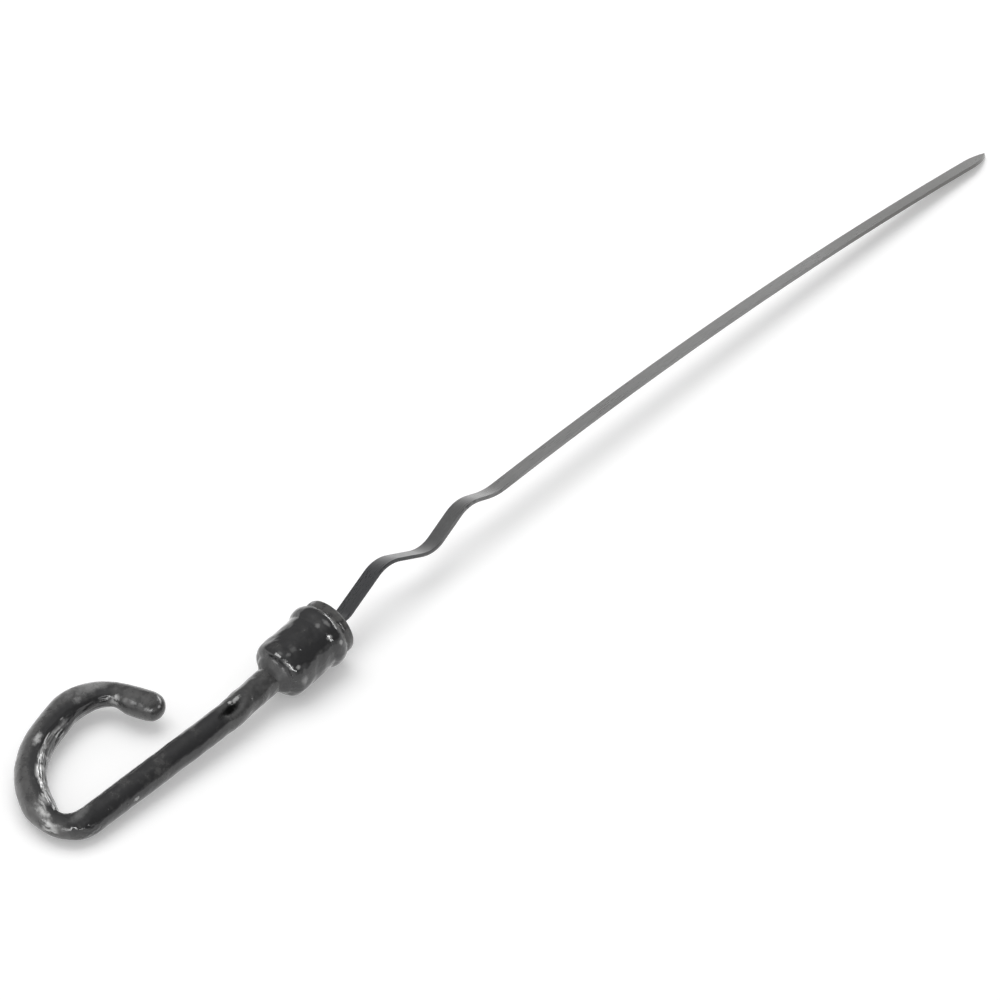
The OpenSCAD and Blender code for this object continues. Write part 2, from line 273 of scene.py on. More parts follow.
# %% [markdown]
# Waves, pimples, stains and lines on the real one are all irregular, and a Noise Texture draws
# each of them. It asks for a scale, which says little about the size of what it draws, so a helper
# takes the size of a blot in metres and works out the scale. What more than one material uses goes
# into a node group, which is built once and placed in each of them with its own values. Copying the
# nodes would work too, but then each copy would have to be corrected by itself.

# %% Helpers for noise and groups
def cloud(tree, vector, size, detail=3.0, roughness=0.5, stretch=None):
    """A noise whose blots are about size metres across, stretched along an axis if asked."""
    if stretch is not None:
        inputs = {0: vector, 1: stretch}
        vector = add(tree, "ShaderNodeVectorMath", inputs, operation="MULTIPLY").outputs[0]
    inputs = {"Vector": vector, "Scale": 1 / size, "Detail": detail, "Roughness": roughness}
    return add(tree, "ShaderNodeTexNoise", inputs).outputs["Fac"]


def new_group(name, amounts, result):
    """A node group with a Vector, amounts and a result; with it, what it is given and its end."""
    group = bpy.data.node_groups.new(name, "ShaderNodeTree")
    sockets = group.interface
    sockets.new_socket(name="Vector", in_out="INPUT", socket_type="NodeSocketVector")
    for label, value in amounts.items():
        amount = sockets.new_socket(name=label, in_out="INPUT", socket_type="NodeSocketFloat")
        amount.default_value = value
    sockets.new_socket(name=result, in_out="OUTPUT", socket_type="NodeSocketFloat")
    return group, add(group, "NodeGroupInput").outputs, add(group, "NodeGroupOutput")


def use_group(tree, group, vector, **amounts):
    """The result of a node group placed in a material."""
    return add(tree, "ShaderNodeGroup", {"Vector": vector, **amounts}, node_tree=group).outputs[0]


print("helpers:", [helper.__name__ for helper in (cloud, new_group, use_group)])

# %% [markdown]
# ## Thick enamel
#
# The real coat was dipped or brushed on thick. It has slow waves, small pimples where dust was
# caught, and an even finer orange peel, and each of them breaks up the reflections at its own scale.
# Waves large enough to show at the outline are made in the mesh later. The smaller ones would need
# millions of faces there, so they are heights for a Bump node. They are in a group, because the
# handle and the cap share the coat and only the amounts differ. A texture of cells gives the pimples,
# because its dots stand apart from each other, and a noise keeps them to some patches.

# %% Build the enamel's relief
WAVE_SIZE, PEEL_SIZE, PIMPLES_APART, PATCH_SIZE = 4.5 * MM, 0.9 * MM, 2.6 * MM, 9 * MM
PEEL_HEIGHT, PIMPLE_HEIGHT, DOT_EDGE, PATCH_EDGE = 0.06, 0.22, (0.04, 0.17), (0.50, 0.58)

relief, given, end = new_group("enamel relief", {"Waves": 1.0, "Pimples": 1.0}, "Height")
vector = given["Vector"]
dots = add(relief, "ShaderNodeTexVoronoi", {"Vector": vector, "Scale": 1 / PIMPLES_APART}, feature="F1")
pimples = number(relief, "MULTIPLY", between(relief, dots.outputs["Distance"], *DOT_EDGE, 1.0, 0.0),
                 between(relief, cloud(relief, vector, PATCH_SIZE, 1.0), *PATCH_EDGE))
height = number(relief, "MULTIPLY", cloud(relief, vector, WAVE_SIZE, 2.0), given["Waves"])
height = number(relief, "MULTIPLY_ADD", cloud(relief, vector, PEEL_SIZE, 1.0), PEEL_HEIGHT, height)
pimple_height = number(relief, "MULTIPLY", given["Pimples"], PIMPLE_HEIGHT)
feed(relief, end, {"Height": number(relief, "MULTIPLY_ADD", pimples, pimple_height, height)})
print("enamel relief:", len(relief.nodes), "nodes")

# %% [markdown]
# Handling dulls a coat unevenly. Greasy and dusty patches are rougher and a little paler than the
# clean gloss. One noise would give round blots, so a broad and a fine one are added, which frays the
# edges of the patches, and the sum is cut off at a level that leaves some places clean. The rubber
# uses the same group for its bloom.

# %% Build the haze of handling
FINE_SHARE, FINE_WEIGHT, HAZE_DETAIL, HAZE_CONTRAST = 0.22, 0.6, 4.0, 4.0

haze, given, end = new_group("handling haze", {"Size": 6 * MM, "Cover": 0.5}, "Mask")


def haze_noise(share):
    """A noise whose blots are a share of the group's Size across."""
    scale = number(haze, "DIVIDE", 1.0, number(haze, "MULTIPLY", given["Size"], share))
    inputs = {"Vector": given["Vector"], "Scale": scale, "Detail": HAZE_DETAIL}
    return add(haze, "ShaderNodeTexNoise", inputs).outputs["Fac"]


fray = number(haze, "MULTIPLY", number(haze, "SUBTRACT", haze_noise(FINE_SHARE), 0.5), FINE_WEIGHT)
patches = number(haze, "ADD", haze_noise(1.0), fray)
level = number(haze, "SUBTRACT", 1.0, given["Cover"])
patches = number(haze, "SUBTRACT", patches, level)
feed(haze, end, {"Mask": number(haze, "MULTIPLY", patches, HAZE_CONTRAST, clamp=True)})
print("handling haze:", len(haze.nodes), "nodes")

# %% [markdown]
# The enamel itself is a Principled shader with a base that isn't quite black, a low roughness that
# rises in the hazy patches, and the relief on its normal. The base colour goes a little brown and
# grey with the haze. A plain black with one roughness would be quicker, but a coat that is the same
# all over looks like plastic. One function mixes it, because the cap's coat is wavier than the bar's.

# %% Mix the enamel
BLACK, DULL_BLACK = (0.022, 0.022, 0.023, 1), (0.052, 0.051, 0.050, 1)
DULL, HAZE_SIZE, RELIEF_DEPTH = 0.40, 7 * MM, 0.30 * MM
COLOUR_A, COLOUR_B, COLOUR_OUT = 6, 7, 2  # the places of a Mix node's sockets for colours


def colour_mix(tree, amount, first, second):
    """The first colour where amount is 0, the second where it is 1."""
    inputs = {"Factor": amount, COLOUR_A: first, COLOUR_B: second}
    return add(tree, "ShaderNodeMix", inputs, data_type="RGBA").outputs[COLOUR_OUT]


def raised(tree, height, depth, **under):
    """The normal of a surface whose height of 1 is depth metres, over another normal if given."""
    inputs = {"Height": height, "Distance": depth, **under}
    return add(tree, "ShaderNodeBump", inputs).outputs["Normal"]


def enamel(name, waves, pimples, cover, gloss):
    """Thick black enamel with its amounts of waves, pimples and haze, and its clean roughness."""
    material, tree, face = new_material(name)
    place = turned(tree, ONTO_AXIS)
    height = use_group(tree, relief, place, Waves=waves, Pimples=pimples)
    hazy = use_group(tree, haze, place, Size=HAZE_SIZE, Cover=cover)
    feed(tree, face, {"Normal": raised(tree, height, RELIEF_DEPTH),
                      "Base Color": colour_mix(tree, hazy, BLACK, DULL_BLACK),
                      "Roughness": between(tree, hazy, 0.0, 1.0, gloss, DULL)})
    return material, tree, face, place


handle_enamel, handle_tree, handle_face, handle_place = enamel(
    "handle enamel", waves=1.0, pimples=1.0, cover=0.44, gloss=0.13)
cap_enamel, cap_tree, cap_face, cap_place = enamel(
    "cap enamel", waves=1.2, pimples=1.4, cover=0.42, gloss=0.12)
print("materials:", handle_enamel.name, "and", cap_enamel.name)

# %% [markdown]
# Round the hook the coat is different. On the inner side of the bend it lies in folds that follow the
# bar, because it shrank there as it set, and the lamps draw them as thin white streaks. A straight
# noise can't follow a bend, so the noise gets other coordinates: the distance to the middle of the
# bend, the height, and the way along the bend, shortened so that its blots become long folds.

# %% Fold the coat inside the hook
BEND_MIDDLE, BEND_R = (-67.8 * MM, 6.5 * MM), 27.5 * MM
HOOK_Y, HOOK_X = (6 * MM, 14 * MM), (-84 * MM, -92 * MM)
END_MIDDLE, END_IN, END_OUT = (-50.5 * MM, 20.0 * MM, 0.0), 8 * MM, 11 * MM
FOLDS_OUT, FOLDS_IN = BEND_R - 0.3 * MM, BEND_R - 2.0 * MM
FOLD_SIZE, FOLD_DEPTH, FOLD_SHARE = 2.1 * MM, 0.8 * MM, 0.12

tree, face, place = handle_tree, handle_face, handle_place
axes = add(tree, "ShaderNodeSeparateXYZ", {0: place}).outputs
off_x = number(tree, "SUBTRACT", axes["X"], BEND_MIDDLE[0])
off_y = number(tree, "SUBTRACT", axes["Y"], BEND_MIDDLE[1])
reach = number(tree, "SQRT", number(tree, "ADD", number(tree, "MULTIPLY", off_x, off_x),
                                    number(tree, "MULTIPLY", off_y, off_y)))
turn = number(tree, "ARCTAN2", off_x, off_y)


def along_bend(share):
    """The distance to the middle of the bend, the height, and a share of the way along the bend."""
    arc = number(tree, "MULTIPLY", turn, BEND_R * share)
    return add(tree, "ShaderNodeCombineXYZ", {"X": reach, "Y": axes["Z"], "Z": arc}).outputs[0]


in_hook = number(tree, "MAXIMUM", between(tree, axes["Y"], *HOOK_Y), between(tree, axes["X"], *HOOK_X))
inner = between(tree, reach, FOLDS_OUT, FOLDS_IN)
from_end = add(tree, "ShaderNodeVectorMath", {0: place, 1: END_MIDDLE}, operation="DISTANCE")
at_end = between(tree, from_end.outputs["Value"], END_IN, END_OUT, 1.0, 0.0)
folded = number(tree, "MULTIPLY", number(tree, "MULTIPLY", inner, in_hook),
                number(tree, "SUBTRACT", 1.0, at_end))
fold_place = along_bend(FOLD_SHARE)
folds = number(tree, "MULTIPLY", cloud(tree, fold_place, FOLD_SIZE, 2.0), folded)
relief_normal = face.inputs["Normal"].links[0].from_socket
feed(tree, face, {"Normal": raised(tree, folds, FOLD_DEPTH, Normal=relief_normal)})
print("folds lie within", round(FOLDS_OUT / MM, 1), "mm of the middle of the bend")

# %% [markdown]
# Hands have worn the outer side of the hook, its end and the neck by the cap: there the coat is
# paler and duller. Each place is found from the same coordinates, and a large and a small noise
# break it up, because wear is never even. A second shader could be mixed in there, but only the
# colour and the roughness change. So these two are laid over what the shader already gets, as one
# would glaze a painted surface, and the haze still shows through.

# %% Wear the coat
WORN_BLACK, WORN_ROUGHER = (0.080, 0.079, 0.078, 1), 0.22
OUTER_FROM, OUTER_TO, END_WEAR = 26.6 * MM, 28.6 * MM, 0.85
NECK_X, NECK_Y, NECK_WEAR = (-44 * MM, -41 * MM), (8 * MM, 6 * MM), 0.55
BROAD_WEAR, FINE_WEAR = 3.5 * MM, 1.2 * MM
BROAD_RANGE, FINE_RANGE = (0.25, 0.60, 0.35, 1.0), (0.30, 0.65, 0.72, 1.18)  # from noise to wear


def tint(tree, face, mask, colour):
    """Lay a colour over the one that the shader gets, where the mask says."""
    under = face.inputs["Base Color"].links[0].from_socket
    feed(tree, face, {"Base Color": colour_mix(tree, mask, under, colour)})


def roughen(tree, face, mask, more):
    """Raise the roughness that the shader gets, where the mask says."""
    under = face.inputs["Roughness"].links[0].from_socket
    feed(tree, face, {"Roughness": number(tree, "MULTIPLY_ADD", mask, more, under)})


worn = number(tree, "MULTIPLY", in_hook, between(tree, reach, OUTER_FROM, OUTER_TO))
worn = number(tree, "MAXIMUM", worn, number(tree, "MULTIPLY", at_end, END_WEAR))
neck = number(tree, "MULTIPLY", between(tree, axes["X"], *NECK_X),
              between(tree, axes["Y"], *NECK_Y, 0.0, NECK_WEAR))
worn = number(tree, "MAXIMUM", worn, neck)
broad = between(tree, cloud(tree, place, BROAD_WEAR, 4.0), *BROAD_RANGE)
fine = between(tree, cloud(tree, place, FINE_WEAR, 3.0, 0.6), *FINE_RANGE)
worn = number(tree, "MULTIPLY", number(tree, "MULTIPLY", worn, broad), fine)
tint(tree, face, worn, WORN_BLACK)
roughen(tree, face, worn, WORN_ROUGHER)
print("handle enamel, worn:", len(tree.nodes), "nodes")

# %% [markdown]
# A punch left a dent in the neck, and painted shade darkens the dent, which makes it the darkest
# spot of all. It could be painted on by hand. Here a spot is an ellipsoid at a place in the part,
# its edge frayed by a noise, so that it can be moved by its numbers. The painted shade is to
# mirror nearly nothing, while black enamel always mirrors a little, so the spot is set metallic,
# because a black metal's mirror is black too.

# %% Painted shade in the dent
# The near-black colour below is painted shade for the dent.
DENT_MIDDLE, DENT_SIZES = (-40.3, -0.9, 3.0), (4.6, 1.35, 2.4)
DENT_SHADE, DENT_SHADE_ROUGHER, DENT_SHADE_FRAY, DENT_SHADE_EDGE = (0.004, 0.004, 0.004, 1), 0.35, 0.6, 0.40
OUTER_EDGE, NOISE_SHARE = 1.1, 0.9


def spot(tree, vector, middle, sizes, fray, inner_edge):
    """1 inside a frayed ellipsoid with its middle and half sizes in millimetres, 0 outside."""
    middle, sizes = (tuple(v * MM for v in values) for values in (middle, sizes))
    off = add(tree, "ShaderNodeVectorMath", {0: vector, 1: middle}, operation="SUBTRACT").outputs[0]
    off = add(tree, "ShaderNodeVectorMath", {0: off, 1: sizes}, operation="DIVIDE").outputs[0]
    far = add(tree, "ShaderNodeVectorMath", {0: off}, operation="LENGTH").outputs["Value"]
    rough = cloud(tree, vector, min(sizes) * NOISE_SHARE, 3.0, 0.7)
    edge = number(tree, "MULTIPLY_ADD", rough, fray, far)
    return between(tree, edge, inner_edge + fray / 2, OUTER_EDGE + fray / 2, 1.0, 0.0)


# Painted shade: the dent is darkened, roughened and set metallic so that it mirrors nothing.
painted_shade = spot(tree, place, DENT_MIDDLE, DENT_SIZES, DENT_SHADE_FRAY, DENT_SHADE_EDGE)
tint(tree, face, painted_shade, DENT_SHADE)
roughen(tree, face, painted_shade, DENT_SHADE_ROUGHER)
feed(tree, face, {"Metallic": painted_shade})
print("soot in the dent, at", DENT_MIDDLE, "mm")

# %% [markdown]
# Chips and painted highlights are the palest marks. Two small pale spots by the dent are painted
# highlights on the raised enamel there, a chip sits on the shank and one by the hook's end, and a
# faint painted reflection lies on the far bend. The streaks of painted highlight round the back of
# the hook are given along the bend, so that they follow the bar. Painted by hand they would all need
# an unwrapped bar. Each is one more spot instead, with a strength of its own, and the strongest
# counts where two meet, as bare metal can't get barer.

# %% Chips and painted highlights
# The last two chips, by the dent, are painted highlights; the rub on the far bend is a painted
# reflection; the rubs along the bend are painted highlight streaks.
# Each has a strength, a middle and half sizes in mm; along the bend these are reach, height, arc.
CHIPS_AND_GLINTS = [(0.55, (-76.0, -1.2, 0.9), (1.1, 0.5, 0.7)), (0.65, (-49.8, 15.1, 2.2), (0.5, 0.4, 0.5)),
         (0.65, (-36.8, -0.2, 3.8), (1.8, 0.7, 0.8)), (0.65, (-38.4, 0.4, 3.8), (0.8, 0.5, 0.6))]
FAR_SHEEN = [(0.16, (-90.2, 4.8, 4.4), (4.6, 1.7, 1.8))]
BEND_HIGHLIGHTS = [(0.85, (26.9, 4.8, -11.6), (1.2, 2.0, 2.6)), (0.95, (28.6, 4.3, -37.0), (1.4, 2.4, 3.6)),
             (0.30, (29.6, 3.6, 11.5), (3.0, 3.4, 8.5)), (0.60, (26.4, 4.5, -34.0), (1.3, 1.7, 2.4)),
             (0.24, (26.8, 3.8, 5.8), (1.2, 1.3, 1.9)), (0.30, (24.1, 2.6, -2.6), (1.2, 1.4, 3.0))]
GLINT_AND_CHIP_EDGE, FAR_EDGE, BEND_EDGE = (2.0, 0.4), (0.8, 0.1), (1.6, -0.1)  # how frayed, how hard


def marks(tree, vector, places, fray, inner_edge):
    """The strongest of several spots, each with its strength, middle and half sizes."""
    strongest = None
    for strength, middle, sizes in places:
        mark = number(tree, "MULTIPLY", spot(tree, vector, middle, sizes, fray, inner_edge), strength)
        strongest = mark if strongest is None else number(tree, "MAXIMUM", strongest, mark)
    return strongest


# Painted highlights with two chips among them, all laid on in pale grey.
glints_and_chips = number(tree, "MAXIMUM", marks(tree, place, CHIPS_AND_GLINTS, *GLINT_AND_CHIP_EDGE),
                marks(tree, place, FAR_SHEEN, *FAR_EDGE))
glints_and_chips = number(tree, "MAXIMUM", glints_and_chips, marks(tree, along_bend(1.0), BEND_HIGHLIGHTS, *BEND_EDGE))
print("chips and scuffs on the handle:", len(CHIPS_AND_GLINTS + FAR_SHEEN + BEND_HIGHLIGHTS))

# %% [markdown]
# Inside the hook a pale grey line along the inner side of the bends is a painted highlight. It
# could be painted on an unwrapped bar. As a sum it is a curve, the distance to the middle of the
# bend against the angle round it, and the same long noise as in the folds breaks it into dashes.

# %% The painted highlight line
# This pale grey is painted highlight; it colours the line, the chips and glints, and the cap's spots.
HIGHLIGHT_GREY, LINE_STRENGTH, LINE_REACH = (0.60, 0.60, 0.595, 1), 0.78, 23.3 * MM
LINE_BOWS = (-60, -8, 1.8 * MM, 0.0), (-86, -60, 4.9 * MM, 0.0)  # degrees, and what they add
LINE_SPANS, SPAN_EDGE = ((-88, -9), (22, 34)), 3.0
LINE_HALF, LINE_OUT, UPPER_SIDE = 0.45 * MM, 1.5 * MM, (0.0, 1.0 * MM)
DASH_SIZE, DASH_RANGE, GAP_SIZE, GAP_RANGE = 1.3 * MM, (0.44, 0.52), 3.4 * MM, (0.40, 0.52, 0.15, 1.0)


def span(tree, value, low, high, edge):
    """1 where value is between low and high, with soft edges."""
    return number(tree, "MULTIPLY", between(tree, value, low - edge, low),
                  between(tree, value, high, high + edge, 1.0, 0.0))


degrees = number(tree, "MULTIPLY", turn, 180 / math.pi)
line = number(tree, "ADD", *(between(tree, degrees, *bow) for bow in LINE_BOWS))
line = number(tree, "ADD", line, LINE_REACH)
off_line = number(tree, "ABSOLUTE", number(tree, "SUBTRACT", reach, line))
here = number(tree, "MAXIMUM", *(span(tree, degrees, *ends, SPAN_EDGE) for ends in LINE_SPANS))
here = number(tree, "MULTIPLY", here, between(tree, axes["Z"], *UPPER_SIDE))
dashes = between(tree, cloud(tree, fold_place, DASH_SIZE, 3.0, 0.6), *DASH_RANGE)
gaps = between(tree, cloud(tree, place, GAP_SIZE, 2.0), *GAP_RANGE)
# Painted highlight: the pale dashed line along the inner side of the bends.
highlight_line = between(tree, off_line, LINE_HALF, LINE_OUT, 1.0, 0.0)
for share in (here, dashes, gaps, LINE_STRENGTH):
    highlight_line = number(tree, "MULTIPLY", highlight_line, share)
tint(tree, face, number(tree, "MAXIMUM", glints_and_chips, highlight_line), HIGHLIGHT_GREY)
print("handle enamel with its marks:", len(tree.nodes), "nodes")

# %% [markdown]
# The lip and the groove behind it seat on the tube, so they hold grime, and so does the corner where
# the bar comes out. Grime is rough and a little paler than the enamel. It could be brushed on, but
# these are rings round the cap's axis, and a mask along the axis is a ring by itself.

# %% Grime on the cap
GRIME_FROM, GRIME_TO = -4.2 * MM, -2.4 * MM
ROOT_GRIME_FROM, ROOT_GRIME_TO, ROOT_SHARE = -21.2 * MM, -22.2 * MM, 0.3
GRIME, GRIME_ROUGHER = (0.062, 0.061, 0.059, 1), 0.40
GRIME_SIZE, GRIME_RANGE = 1.8 * MM, (0.36, 0.62, 0.2, 1.1)

tree, face, place = cap_tree, cap_face, cap_place
along = add(tree, "ShaderNodeSeparateXYZ", {0: place}).outputs["X"]
at_root = between(tree, along, ROOT_GRIME_FROM, ROOT_GRIME_TO)
grime = number(tree, "MAXIMUM", between(tree, along, GRIME_FROM, GRIME_TO),
               number(tree, "MULTIPLY", at_root, ROOT_SHARE))
patchy = between(tree, cloud(tree, place, GRIME_SIZE, 4.0), *GRIME_RANGE)
grime = number(tree, "MULTIPLY", grime, patchy)
tint(tree, face, grime, GRIME)
roughen(tree, face, number(tree, "MAXIMUM", grime, at_root), GRIME_ROUGHER)
print("grime from x", round(GRIME_FROM / MM, 1), "mm to the lip's face")

# %% [markdown]
# On the bead and the shoulder a few pale spots are painted highlights, and they are the cap's
# clearest marks. Spread at random they would give other spots and another cap, so each is put in
# its place, along the axis, across it and up.

# %% Painted highlights on the cap
# Each has a strength, a middle and half sizes in mm.
BEAD_HIGHLIGHTS = [(0.24, (-6.7, -2.7, 8.1), (0.8, 0.9, 0.9)), (0.56, (-6.5, -6.5, 5.8), (0.9, 0.9, 0.9)),
              (0.55, (-4.4, -8.7, 3.5), (0.8, 0.8, 0.9)), (0.22, (-4.7, -4.0, 8.2), (0.8, 1.9, 1.1))]
SHOULDER_HIGHLIGHTS = [
    (0.26, (-18.8, -8.3, 0.9), (1.4, 1.1, 1.9)), (0.52, (-19.0, -6.6, 5.1), (0.9, 0.7, 0.8)),
    (0.36, (-20.7, -3.6, 6.6), (0.7, 0.8, 0.7)), (0.50, (-20.7, -4.5, 6.0), (0.7, 0.8, 0.7)),
    (0.66, (-20.6, -5.4, 5.4), (0.7, 0.8, 0.7)), (0.16, (-20.2, -1.2, 7.9), (0.8, 0.9, 0.8)),
    (0.16, (-18.9, -3.2, 7.7), (1.0, 0.7, 0.7)), (0.09, (-16.8, -3.1, 7.7), (1.1, 1.0, 0.9)),
    (0.10, (-22.0, -2.4, 3.3), (0.8, 0.8, 0.9))]
SPOT_EDGE = (1.0, 0.2)

# Painted highlights on the bead and the shoulder; the print below counts them as worn spots.
tint(tree, face, marks(tree, place, BEAD_HIGHLIGHTS + SHOULDER_HIGHLIGHTS, *SPOT_EDGE), HIGHLIGHT_GREY)
print("worn spots:", len(BEAD_HIGHLIGHTS), "on the bead,", len(SHOULDER_HIGHLIGHTS), "on the shoulder")

# %% [markdown]
# ## Blade and seal
#
# The strip is cold rolled spring steel. Rolling leaves fine lines along its length, and use has left
# it an even, dull grey. Brushed metal can be faked with anisotropy, but here the lines are so fine
# that a stretched noise in roughness and colour does as well. Close to the cap the strip caught the
# edge of the enamel spray: it is nearly black there and clears within about eight centimetres. The
# end that stands in the oil is a shade darker too.

# %% Roll the steel
STEEL_DARK, STEEL_LIGHT = (0.145, 0.145, 0.143, 1), (0.23, 0.23, 0.228, 1)
OVERSPRAY, SPRAY_FROM, SPRAY_TO = (0.028, 0.029, 0.032, 1), 14 * MM, 84 * MM
STEEL_OILED, OILED_FROM, OILED_TO = (0.13, 0.129, 0.125, 1), 215 * MM, 250 * MM
LINE_SIZE, LINE_PULL, LINE_DEPTH = 0.35 * MM, (0.008, 1.0, 1.0), 0.005 * MM
STAIN_SIZE, STAIN_PULL, STAIN_SHIFT = 14 * MM, (0.5, 1.0, 1.0), 30 * MM
BARE_METALLIC, SPRAYED_METALLIC, STEEL_ROUGHNESS = 0.95, 0.15, (0.24, 0.36)

steel, tree, face = new_material("blade steel")
place = turned(tree, ONTO_AXIS, ONTO_STRIP)
along = add(tree, "ShaderNodeSeparateXYZ", {0: place}).outputs["X"]
lines = cloud(tree, place, LINE_SIZE, 2.0, 0.6, LINE_PULL)
stains = cloud(tree, place, STAIN_SIZE, 4.0, 0.55, STAIN_PULL)
grain = number(tree, "ADD", number(tree, "MULTIPLY", lines, 0.5), number(tree, "MULTIPLY", stains, 0.5))
metal = colour_mix(tree, between(tree, grain, 0.30, 0.70), STEEL_DARK, STEEL_LIGHT)
spray_edge = number(tree, "MULTIPLY_ADD", stains, STAIN_SHIFT,
                    number(tree, "SUBTRACT", along, STAIN_SHIFT / 2))
spray = between(tree, spray_edge, SPRAY_FROM, SPRAY_TO, 1.0, 0.0)
oil_edge = number(tree, "MULTIPLY_ADD", stains, STAIN_SHIFT, along)
metal = colour_mix(tree, between(tree, oil_edge, OILED_FROM, OILED_TO), metal, STEEL_OILED)
feed(tree, face, {"Base Color": colour_mix(tree, spray, metal, OVERSPRAY),
                  "Metallic": between(tree, spray, 0.0, 1.0, BARE_METALLIC, SPRAYED_METALLIC),
                  "Roughness": between(tree, grain, 0.25, 0.75, *STEEL_ROUGHNESS),
                  "Normal": raised(tree, lines, LINE_DEPTH)})
print("blade steel:", len(tree.nodes), "nodes")

# %% [markdown]
# The seal is a plug of moulded black rubber in the cap's mouth. Rubber is matt, with a fine skin
# from the mould, and with age a grey bloom comes out of it. A single dark colour would do from
# far, but the bloom is what tells rubber from plastic, and the haze group draws it in small patches.

# %% Mould the rubber
RUBBER, BLOOM, RUBBER_ROUGHNESS = (0.022, 0.022, 0.022, 1), (0.055, 0.053, 0.05, 1), (0.62, 0.8)
BLOOM_SIZE, SKIN_SIZE, SKIN_DEPTH = 2.5 * MM, 0.5 * MM, 0.05 * MM

rubber, tree, face = new_material("seal rubber")
place = turned(tree, ONTO_AXIS)
bloom = use_group(tree, haze, place, Size=BLOOM_SIZE, Cover=0.5)
feed(tree, face, {"Base Color": colour_mix(tree, bloom, RUBBER, BLOOM),
                  "Roughness": between(tree, bloom, 0.0, 1.0, *RUBBER_ROUGHNESS),
                  "Normal": raised(tree, cloud(tree, place, SKIN_SIZE), SKIN_DEPTH)})
print("seal rubber:", len(tree.nodes), "nodes")

# %% [markdown]
# The strip and the seal are right as the solids give them, so they stay. A Weld modifier joins their
# loose triangles, a small Bevel breaks the corners as rolling and moulding do, and smooth shading
# rounds the bends. Weighted normals let the broad faces decide, or the flat strip would be shaded as
# if it were round. The mesh itself isn't touched.

# %% Finish the strip and the seal
JOINED, CORNER = 0.001 * MM, math.radians(40)


def pick(*pieces):
    """Select these pieces only, the last of them active."""
    bpy.ops.object.select_all(action="DESELECT")
    for piece in pieces:
        piece.select_set(True)
    bpy.context.view_layer.objects.active = pieces[-1]


def finish_node(node, material, bevel):
    """Give a solid its material and corners broken by bevel metres."""
    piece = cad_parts[node]
    pick(piece)
    bpy.ops.object.shade_smooth()
    weld = piece.modifiers.new("join", "WELD")
    weld.merge_threshold = JOINED
    rounded = piece.modifiers.new("broken corners", "BEVEL")
    rounded.width, rounded.segments, rounded.limit_method = bevel, 2, "ANGLE"
    rounded.angle_limit = CORNER
    even = piece.modifiers.new("flat faces", "WEIGHTED_NORMAL")
    even.mode, even.weight = "FACE_AREA", 100
    piece.data.materials.clear()
    piece.data.materials.append(material)
    print(node, "corners broken by", round(bevel / MM, 2), "mm")


finish_node("blade", steel, 0.16 * MM)
finish_node("seal", rubber, 0.12 * MM)

# %% [markdown]
# ## The coat on the handle and the cap
#
# Enamel this thick rounds every corner and gathers where the bar comes out of the cap. The coat
# starts from a copy of the solid whose triangles are merged. The gathered enamel could be drawn
# into the solid, but it belongs to the paint, so short cones on the cap's axis are joined to the
# copy, and the wrapping in the next step makes one skin of them.

# %% Start the coat
AXIS = Vector((math.cos(LIE_CLIMB), 0, math.sin(LIE_CLIMB)))
ROOT_POOLS = [(-20.2 * MM, -23.4 * MM, 7.3 * MM, 4.2 * MM),
              (-23.4 * MM, -25.2 * MM, 4.2 * MM, 3.4 * MM)]
POOL_CORNERS = 64


def copied(node, name):
    """A copy of a solid with its loose triangles joined."""
    piece = bpy.data.objects.new(name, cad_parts[node].data.copy())
    scene.collection.objects.link(piece)
    pick(piece)
    bpy.ops.object.mode_set(mode="EDIT")
    bpy.ops.mesh.select_all(action="SELECT")
    bpy.ops.mesh.remove_doubles(threshold=JOINED)
    bpy.ops.object.mode_set(mode="OBJECT")
    return piece


def add_pool(piece, start, stop, start_r, stop_r):
    """Join a cone of enamel to a piece: its two ends along the cap's axis, and their radii."""
    bpy.ops.mesh.primitive_cone_add(vertices=POOL_CORNERS, radius1=start_r, radius2=stop_r,
                                    depth=start - stop, location=AXIS * (start + stop) / 2,
                                    rotation=(-AXIS).to_track_quat("Z", "Y").to_euler())
    pick(bpy.context.object, piece)
    bpy.ops.object.join()


bar_coat, cap_coat = copied("handle", "hook_handle"), copied("cap", "beaded_cap")
for pool in ROOT_POOLS:
    add_pool(cap_coat, *pool)
print("corners to start from:", len(bar_coat.data.vertices), "and", len(cap_coat.data.vertices))

# %% [markdown]
# A wet coat flows before it sets, and hangs in slow waves. It could be sculpted by hand, but
# modifiers do the same job in the same way every time: a voxel Remesh wraps the copy in even faces,
# Smooth lets them flow, and Displace adds the waves, inwards on the whole, so that the piece keeps
# its size.

# %% Pour the coat
FLOW, FLOW_TIMES, SUNK = 0.5, 5, 0.85


def pour(piece, voxel, wave, depth):
    """Wrap a piece in faces of voxel metres, let them flow, and wave them by depth metres."""
    pick(piece)
    wrap = piece.modifiers.new("wrap", "REMESH")
    wrap.mode, wrap.voxel_size, wrap.use_smooth_shade = "VOXEL", voxel, True
    flow = piece.modifiers.new("flow", "SMOOTH")
    flow.factor, flow.iterations = FLOW, FLOW_TIMES
    waves = bpy.data.textures.new(piece.name + " waves", "CLOUDS")
    waves.noise_scale, waves.noise_depth = wave, 1
    lift = piece.modifiers.new("waves", "DISPLACE")
    lift.texture, lift.texture_coords, lift.direction = waves, "LOCAL", "NORMAL"
    lift.strength, lift.mid_level = depth, SUNK
    for modifier in ("wrap", "flow", "waves"):
        bpy.ops.object.modifier_apply(modifier=modifier)
    print(piece.name, "has", len(piece.data.polygons), "faces")


pour(bar_coat, voxel=0.38 * MM, wave=6 * MM, depth=0.22 * MM)
pour(cap_coat, voxel=0.26 * MM, wave=5 * MM, depth=0.2 * MM)

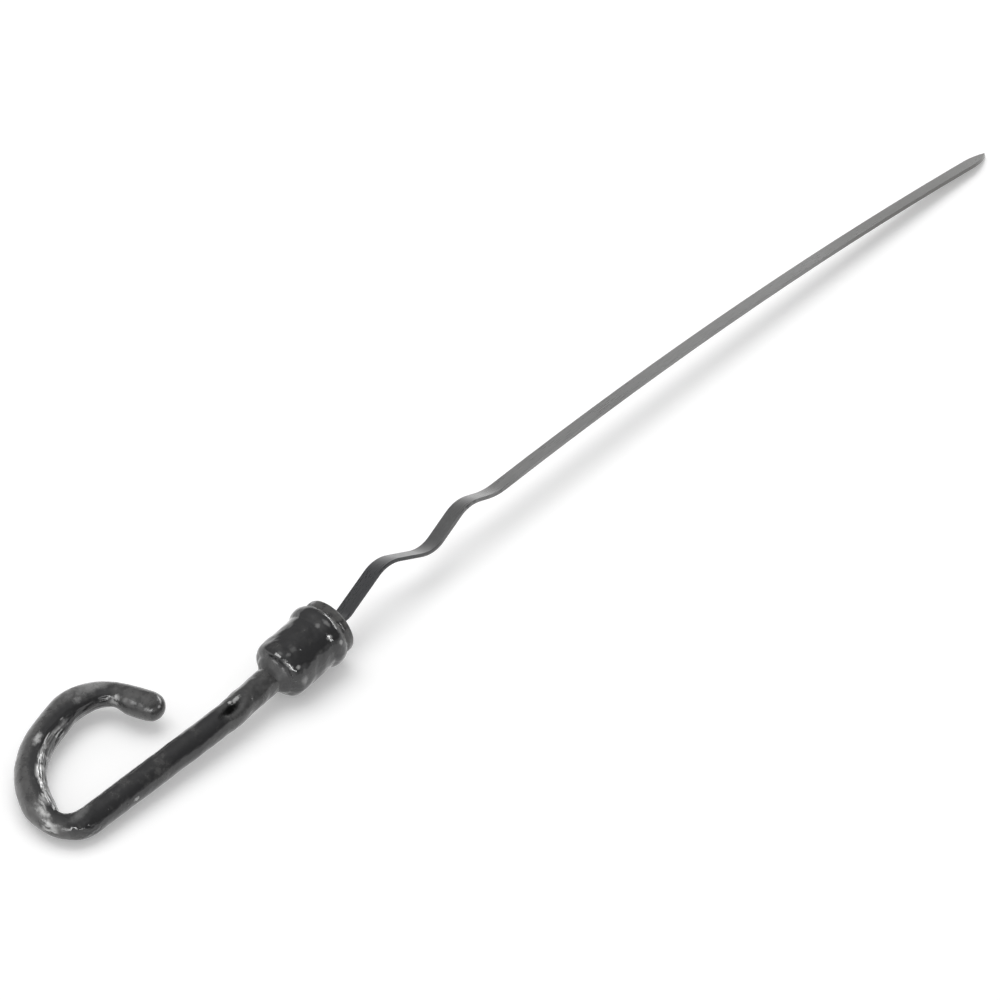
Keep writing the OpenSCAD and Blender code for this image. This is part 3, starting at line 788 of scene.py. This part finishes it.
# %% [markdown]
# The coat is lumpy on the neck and on the cap's body, nearly even on the shank, and bare of lumps on
# the lip, which has to enter the tube. A vertex group could tell a second Displace modifier where
# to work. It is as short to move the corners of the mesh along their normals by a noise, times
# a height that depends on the place.

# %% Raise the lumps
LUMP, SMALL_LUMP, SMALL_SHARE, ELSEWHERE = 3.0 * MM, 1.5 * MM, 0.3, Vector((9, 9, 9))
BAR_LIFT, NECK_LIFT, BODY_LIFT, BEAD_LIFT = 0.05 * MM, 0.22 * MM, 0.14 * MM, 0.03 * MM
LUMPY_X, LUMPY_Y = (-45 * MM, -41 * MM), (10 * MM, 6 * MM)
BODY_X, BEAD_X = (-1.5 * MM, -7 * MM), (1 * MM, -2 * MM)


def ramp(value, low, high):
    """0 at low, 1 at high, straight between."""
    return min(1.0, max(0.0, (value - low) / (high - low)))


def neck_lumps(place):
    """Thick lumps on the neck, next to none elsewhere."""
    return BAR_LIFT + NECK_LIFT * ramp(place.x, *LUMPY_X) * ramp(place.y, *LUMPY_Y)


def cap_lumps(place):
    """Lumps on the body, less on the bead and none on the lip, which has to enter the tube."""
    return BODY_LIFT * ramp(place.x, *BODY_X) + BEAD_LIFT * ramp(place.x, *BEAD_X)


def raise_lumps(piece, height):
    """Move the corners of a piece in and out, by height(place) metres at most."""
    corners = piece.data.vertices
    places, normals = (np.empty(len(corners) * 3) for _ in range(2))
    corners.foreach_get("co", places)
    corners.foreach_get("normal", normals)
    places, normals = places.reshape(-1, 3), normals.reshape(-1, 3)
    for index, place in enumerate(places):
        place = Vector(place)
        swell = noise.noise(place / LUMP) + SMALL_SHARE * noise.noise(place / SMALL_LUMP + ELSEWHERE)
        places[index] += normals[index] * height(place) * swell
    corners.foreach_set("co", places.ravel())
    piece.data.update()


raise_lumps(bar_coat, neck_lumps)
raise_lumps(cap_coat, cap_lumps)
print("corners moved:", len(bar_coat.data.vertices) + len(cap_coat.data.vertices))

# %% [markdown]
# The two coats now take the places of the bare solids under them. The solids could be kept inside,
# but two skins so close together would show through each other, so each coat replaces its own.

# %% Put the coats in place
def take_place(piece, node, material):
    """Let a dressed piece stand for its solid, in its material and with the solid's slot."""
    piece.data.materials.clear()
    piece.data.materials.append(material)
    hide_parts(node)
    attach(piece, "root")
    print(piece.name, "stands for the", node)


take_place(bar_coat, "handle", handle_enamel)
take_place(cap_coat, "cap", cap_enamel)
